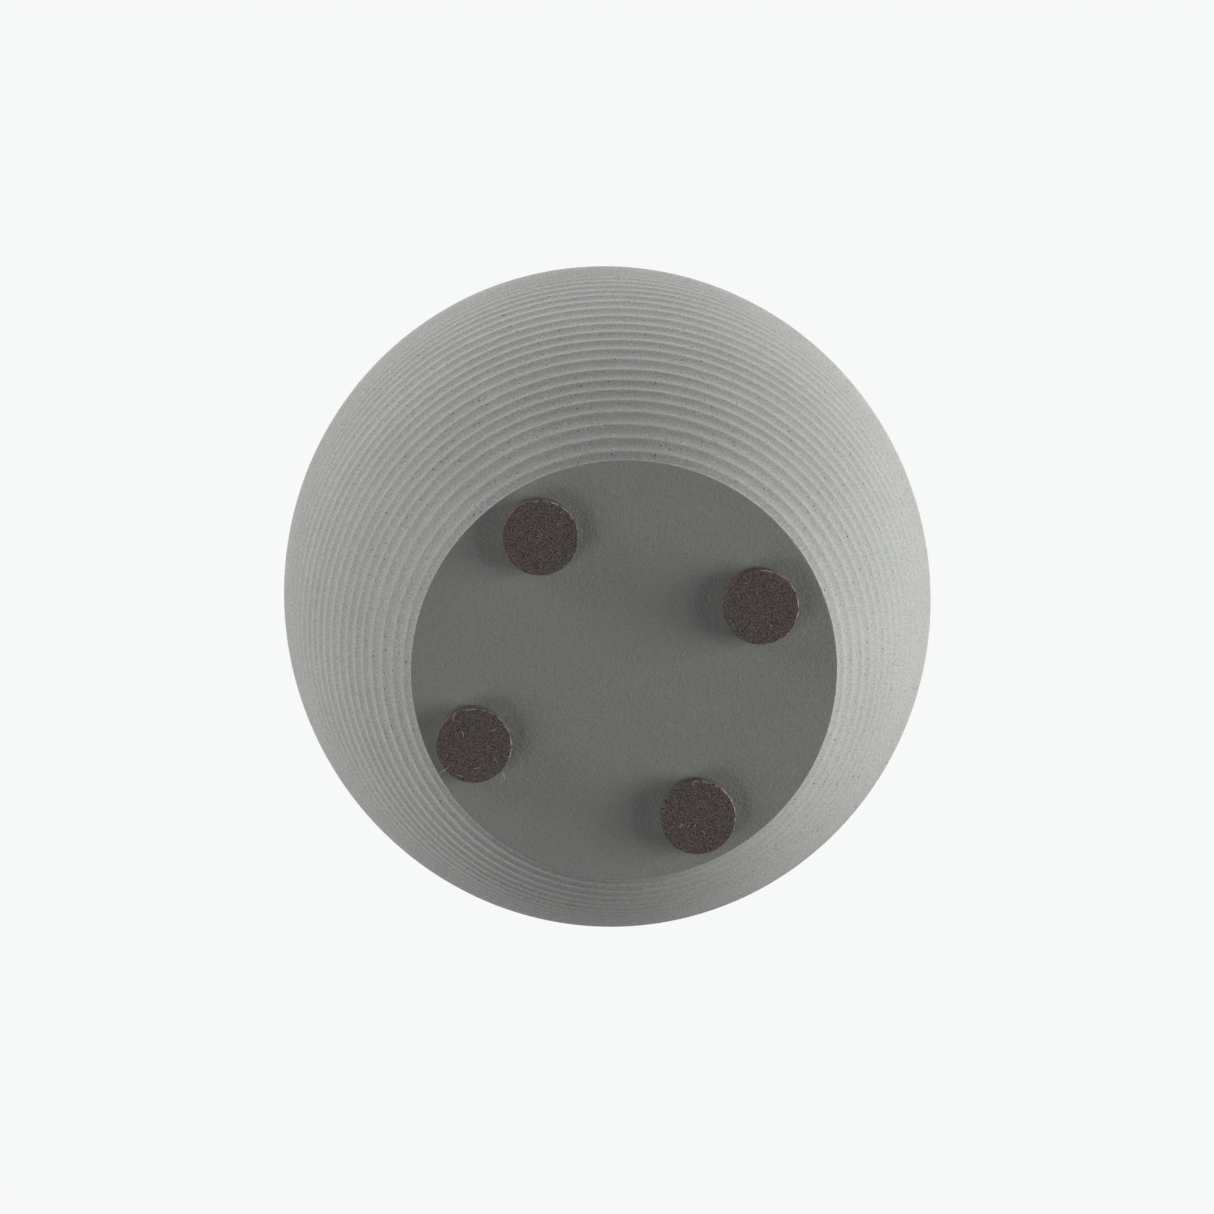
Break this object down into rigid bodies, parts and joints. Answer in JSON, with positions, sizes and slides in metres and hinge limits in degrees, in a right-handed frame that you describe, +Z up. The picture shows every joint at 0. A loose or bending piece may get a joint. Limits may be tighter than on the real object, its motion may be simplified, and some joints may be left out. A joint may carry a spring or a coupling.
{
  "type": "ribbed vase",
  "caption": "Tall barrel-shaped vase, fluted by horizontal rings from base to rim, hollow with a wide round mouth, standing on small foam pads.",
  "frame": {"origin": "centre of the standing plane, under the foam pads, on the vase's axis", "axes": "+Z up along the vase's axis, from the flat base to the mouth; +X and +Y are level, with the first pad towards -Y and a little towards -X"},
  "size_m": [0.1844, 0.1844, 0.2553],
  "materials": {
    "vase_finish": "matte grey mineral casting with a fine sandy coat outside, smoother under the base",
    "pad_foam": "dark brown closed-cell foam, matte and grainy",
    "adhesive_film": "pale double-sided adhesive film"
  },
  "bodies": {
    "root": {"vase_body": "vase_finish", "pad_1": "pad_foam", "pad_2": "pad_foam", "pad_3": "pad_foam", "pad_4": "pad_foam", "pad_adhesive_1": "adhesive_film", "pad_adhesive_2": "adhesive_film", "pad_adhesive_3": "adhesive_film", "pad_adhesive_4": "adhesive_film"}
  },
  "joints": []
}
